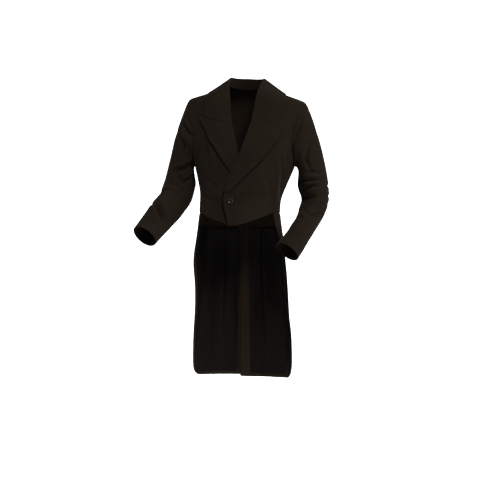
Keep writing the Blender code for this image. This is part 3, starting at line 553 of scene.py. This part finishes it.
# Sleeves: each has a wide top half and a narrow under half of suiting, joined by two seams, set full
# into the armhole and hemmed plainly at the cuff. They are bent as worn, with creases at the elbows.
ARM_AXES = {
    "right": ((-0.205, 0.0, -0.12), (-0.280, -0.006, -0.346), (-0.291, -0.016, -0.388),
              (-0.326, -0.056, -0.449), (-0.365, -0.104, -0.500), (-0.413, -0.162, -0.566)),
    "left": ((0.170, 0.010, -0.12), (0.250, 0.016, -0.352), (0.259, 0.036, -0.412),
             (0.248, 0.022, -0.462), (0.226, -0.010, -0.505), (0.197, -0.047, -0.552),
             (0.170, -0.078, -0.594), (0.146, -0.100, -0.626)),
}
arm_creases = {
    "right": [
        (10, [(-254, -76), (-238, -126), (-222, -164)], 9, 6.5),
        (10, [(-272, -108), (-250, -150), (-218, -178)], 11, 11.7),
        (10, [(-284, -132), (-266, -168), (-240, -200)], 10, -6.5),
        (10, [(-220, -196), (-216, -262), (-212, -320)], 14, 11.7),
        (10, [(-276, -168), (-262, -208), (-264, -246)], 10, 7.8),
        (10, [(-250, -196), (-240, -230), (-238, -262)], 9, 5.9),
        (10, [(-308, -290), (-272, -280), (-240, -262)], 10, -6.5),
        (10, [(-300, -308), (-260, -298), (-226, -270)], 10, 10.4),
        (10, [(-292, -316), (-268, -354), (-236, -336), (-212, -308)], 10, 9.1),
        (10, [(-330, -366), (-296, -384), (-262, -372)], 12, -5.2),
        (10, [(-382, -430), (-360, -464), (-345, -508)], 12, 13.0),
        (10, [(-356, -420), (-334, -456), (-326, -494)], 11, -6.5),
        (10, [(-392, -500), (-372, -520), (-356, -540)], 11, 3.9),
        (-80, [(30, -376), (0, -390), (-34, -384)], 10, 7.8),
        (-80, [(52, -430), (14, -442), (-24, -428)], 10, 6.5),
        (-80, [(-30, -140), (-56, -190), (-48, -246)], 13, 6.5),
        (190, [(248, -346), (284, -360), (320, -348)], 10, 7.8),
        (190, [(262, -392), (300, -404), (330, -396)], 9, 5.2),
        (190, [(344, -462), (368, -500)], 10, 6.5),
        (190, [(232, -150), (252, -210), (246, -270)], 13, 6.5),
    ],
    "left": [
        (10, [(232, -62), (228, -96), (224, -124)], 9, 3.5),
        (10, [(214, -70), (190, -146), (160, -226)], 9, 4.0),
        (10, [(162, -222), (160, -274), (190, -330), (204, -368)], 14, 8.0),
        (10, [(232, -196), (216, -262), (236, -310)], 13, 6.0),
        (10, [(204, -318), (242, -313), (300, -320)], 8, 8.0),
        (10, [(262, -330), (240, -332), (214, -336)], 7, -5.0),
        (10, [(300, -322), (272, -342), (240, -349), (202, -350)], 8, 9.0),
        (10, [(262, -356), (236, -359), (206, -360)], 7, -5.0),
        (10, [(264, -366), (238, -370), (212, -386)], 9, 10.0),
        (10, [(266, -396), (258, -424), (240, -446)], 13, -4.0),
        (10, [(300, -452), (276, -477), (247, -486), (222, -480), (212, -462)], 10, 8.0),
        (10, [(214, -489), (188, -497)], 9, 8.0),
        (10, [(272, -492), (246, -508), (220, -512)], 12, -4.0),
        (10, [(160, -560), (186, -566), (212, -556)], 11, 4.0),
        (100, [(-70, -398), (-36, -412), (0, -402)], 9, 6.0),
        (100, [(-76, -440), (-40, -447), (-6, -434)], 9, 5.0),
        (100, [(-60, -352), (-30, -366), (4, -360)], 8, 4.5),
        (100, [(-40, -150), (-20, -200), (-26, -252)], 13, 5.0),
        (190, [(-302, -378), (-264, -392), (-232, -382)], 10, 6.0),
        (190, [(-296, -420), (-262, -432), (-230, -420)], 9, 5.0),
        (190, [(-240, -150), (-222, -206), (-228, -262)], 13, 5.0),
        (190, [(-252, -500), (-222, -520)], 10, 5.0),
    ],
}
for side in ("left", "right"):
    for half, cut, area in (("top", (0.32, 0.66), 0.148), ("under", (0.19, 0.46), 0.053)):
        node = half + "_sleeve_" + side
        panel = cut_panel([node], 3)
        mates = {"top": ("under_sleeve_", "forepart_", "back_"), "under": ("top_sleeve_", "side_body_")}[half]
        sink_seams(panel, ARM_AXES[side], [piece + side for piece in mates], 0.004, 0.0015)
        settle(panel, ARM_AXES[side], 0.0009)
        for view, line, reach, depth in arm_creases[side]:
            crease(panel, ARM_AXES[side], view, line, reach, depth)
        lay_weave(panel, ARM_AXES[side], 0.06)
        sew_in(panel, [node], coat_cloth)


# Buttonhole: a slit in the left front edged with close purl stitches of black silk twist over a cord.
# It runs from under the button towards the front edge.
def on_button_seat(name):
    """The mesh just modelled about the origin, moved to the button's place and turned to its axis."""
    made = bpy.context.object
    made.name = name
    made.matrix_world = seat @ made.matrix_world
    bpy.ops.object.select_all(action="DESELECT")
    made.select_set(True)
    bpy.context.view_layer.objects.active = made
    bpy.ops.object.transform_apply(location=True, rotation=True, scale=True)
    return made


solid_button = points_of(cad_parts["button"])
middle = (solid_button.min(axis=0) + solid_button.max(axis=0)) / 2
facing = Vector(np.linalg.svd(solid_button - solid_button.mean(axis=0))[2][2])
if facing.y > 0:
    facing = -facing
reach = (solid_button - middle) @ np.array(facing)
upright = Vector((0, 0, 1))
level = upright.cross(facing).normalized()
upright = facing.cross(level)
shank_foot = Vector(middle) + facing * reach.min()
seat = Matrix.Translation(shank_foot) @ Matrix((level, upright, facing)).transposed().to_4x4()

bpy.ops.object.select_all(action="DESELECT")
bpy.ops.mesh.primitive_torus_add(major_radius=0.0013, minor_radius=0.0007, major_segments=64, minor_segments=12,
                                 location=(0, 0, 0))
bpy.ops.object.mode_set(mode="EDIT")
bpy.ops.mesh.select_all(action="DESELECT")
bpy.ops.object.mode_set(mode="OBJECT")
hole_edge = bpy.context.object
for point in hole_edge.data.vertices:
    point.select = point.co.x < -0.00001
bpy.ops.object.mode_set(mode="EDIT")
bpy.ops.transform.translate(value=(-0.0155, 0, 0))
bpy.ops.mesh.select_all(action="SELECT")
bpy.ops.transform.translate(value=(0.0015, 0, -0.0004))
bpy.ops.object.mode_set(mode="OBJECT")
bpy.ops.object.shade_smooth()
buttonhole = on_button_seat("buttonhole_edge")


def silk_twist(name, bands):
    """Black silk thread: close rounded stitches with a soft shine."""
    thread = bpy.data.materials.new(name)
    thread.use_nodes = True
    nodes, links = thread.node_tree.nodes, thread.node_tree.links
    shader = nodes["Principled BSDF"]
    shader.inputs["Roughness"].default_value = 0.5
    shader.inputs["Specular IOR Level"].default_value = 0.1
    place = nodes.new("ShaderNodeTexCoord")
    stitches = nodes.new("ShaderNodeTexWave")
    stitches.bands_direction = "X"
    stitches.inputs["Scale"].default_value = bands
    stitches.inputs["Distortion"].default_value = 0.6
    links.new(place.outputs["Object"], stitches.inputs["Vector"])
    tone = nodes.new("ShaderNodeMix")
    tone.data_type = "RGBA"
    tone.inputs["A"].default_value = (0.003, 0.0025, 0.002, 1)
    tone.inputs["B"].default_value = (0.018, 0.015, 0.012, 1)
    links.new(stitches.outputs["Fac"], tone.inputs["Factor"])
    links.new(tone.outputs["Result"], shader.inputs["Base Color"])
    bump = nodes.new("ShaderNodeBump")
    bump.inputs["Strength"].default_value = 0.6
    bump.inputs["Distance"].default_value = 0.0003
    links.new(stitches.outputs["Fac"], bump.inputs["Height"])
    links.new(bump.outputs["Normal"], shader.inputs["Normal"])
    return thread


buttonhole.data.materials.append(silk_twist("black_buttonhole_twist", 550))
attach(buttonhole, "root")


# Button: one glossy black four-hole button with a raised rim round a dished middle. It is sewn to the
# right front by a thread shank through the left front's buttonhole, of which only the part above
# the left front is modelled.
BUTTON_RADIUS = 0.0115
SHANK = 0.0015
bpy.ops.object.select_all(action="DESELECT")
bpy.ops.mesh.primitive_circle_add(vertices=64, radius=BUTTON_RADIUS * 0.8, fill_type="NGON", location=(0, 0, SHANK))
bpy.ops.object.mode_set(mode="EDIT")
bpy.ops.mesh.select_all(action="SELECT")
profile = [(1.0, 0.0009), (1.0, 0.0019), (0.975, 0.0004), (0.93, 0.0003), (0.86, 0.0001), (0.79, -0.0003),
           (0.72, -0.0007), (0.62, -0.0003)]
width = 0.8
for share, rise in profile:
    bpy.ops.mesh.extrude_region_move(TRANSFORM_OT_translate={"value": (0, 0, rise)})
    bpy.ops.transform.resize(value=(share / width, share / width, 1))
    width = share
bpy.ops.object.mode_set(mode="OBJECT")
button = bpy.context.object
drilled = []
for across, up in ((-0.0021, -0.0021), (0.0021, -0.0021), (-0.0021, 0.0021), (0.0021, 0.0021)):
    bpy.ops.mesh.primitive_cylinder_add(vertices=24, radius=0.0010, depth=0.012, location=(across, up, 0.003))
    drilled.append(bpy.context.object)
for drill in drilled:
    bpy.ops.object.select_all(action="DESELECT")
    bpy.context.view_layer.objects.active = button
    button.select_set(True)
    cut = button.modifiers.new("hole", "BOOLEAN")
    cut.operation = "DIFFERENCE"
    cut.solver = "EXACT"
    cut.object = drill
    bpy.ops.object.modifier_apply(modifier=cut.name)
    bpy.data.objects.remove(drill)
rounding = button.modifiers.new("moulded_edges", "BEVEL")
rounding.width = 0.00025
rounding.segments = 3
rounding.limit_method = "ANGLE"
rounding.angle_limit = math.radians(28)
bpy.ops.object.modifier_apply(modifier=rounding.name)
bpy.ops.object.shade_smooth_by_angle(angle=math.radians(50))
button = on_button_seat("coat_button")

gloss_black = bpy.data.materials.new("glossy_black_button")
gloss_black.use_nodes = True
nodes, links = gloss_black.node_tree.nodes, gloss_black.node_tree.links
shader = nodes["Principled BSDF"]
shader.inputs["Specular IOR Level"].default_value = 0.18
place = nodes.new("ShaderNodeTexCoord")
clouds = nodes.new("ShaderNodeTexNoise")
clouds.inputs["Scale"].default_value = 260
clouds.inputs["Detail"].default_value = 5
links.new(place.outputs["Object"], clouds.inputs["Vector"])
tone = nodes.new("ShaderNodeMix")
tone.data_type = "RGBA"
tone.inputs["A"].default_value = (0.004, 0.0035, 0.003, 1)
tone.inputs["B"].default_value = (0.014, 0.012, 0.010, 1)
links.new(clouds.outputs["Fac"], tone.inputs["Factor"])
links.new(tone.outputs["Result"], shader.inputs["Base Color"])
gloss = nodes.new("ShaderNodeMapRange")
gloss.inputs["To Min"].default_value = 0.06
gloss.inputs["To Max"].default_value = 0.14
links.new(clouds.outputs["Fac"], gloss.inputs["Value"])
links.new(gloss.outputs["Result"], shader.inputs["Roughness"])
button.data.materials.append(gloss_black)
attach(button, "root")
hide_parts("button")


# Button thread: waxed black twist through the four holes in two bars, and wound round below the button
# into the short shank that stands it off the cloth.
bpy.ops.object.select_all(action="DESELECT")
bpy.ops.mesh.primitive_cylinder_add(vertices=24, radius=0.0019, depth=SHANK + 0.0009, location=(0, 0, SHANK / 2 - 0.0002))
parts = [bpy.context.object]
for up in (-0.0021, 0.0021):
    for strand in (-0.0004, 0.0, 0.0004):
        bpy.ops.mesh.primitive_torus_add(major_radius=0.0021, minor_radius=0.00026, major_segments=32, minor_segments=8,
                                         location=(0, up + strand, 0.0033), rotation=(math.pi / 2, 0, 0))
        parts.append(bpy.context.object)
        bpy.ops.transform.resize(value=(1, 1, 0.42))
bpy.ops.object.select_all(action="DESELECT")
for part in parts:
    part.select_set(True)
bpy.context.view_layer.objects.active = parts[0]
bpy.ops.object.join()
bpy.ops.object.transform_apply(location=True, rotation=True, scale=True)
bpy.ops.object.shade_smooth_by_angle(angle=math.radians(50))
thread = on_button_seat("button_thread")
thread.data.materials.append(silk_twist("waxed_button_thread", 420))
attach(thread, "root")
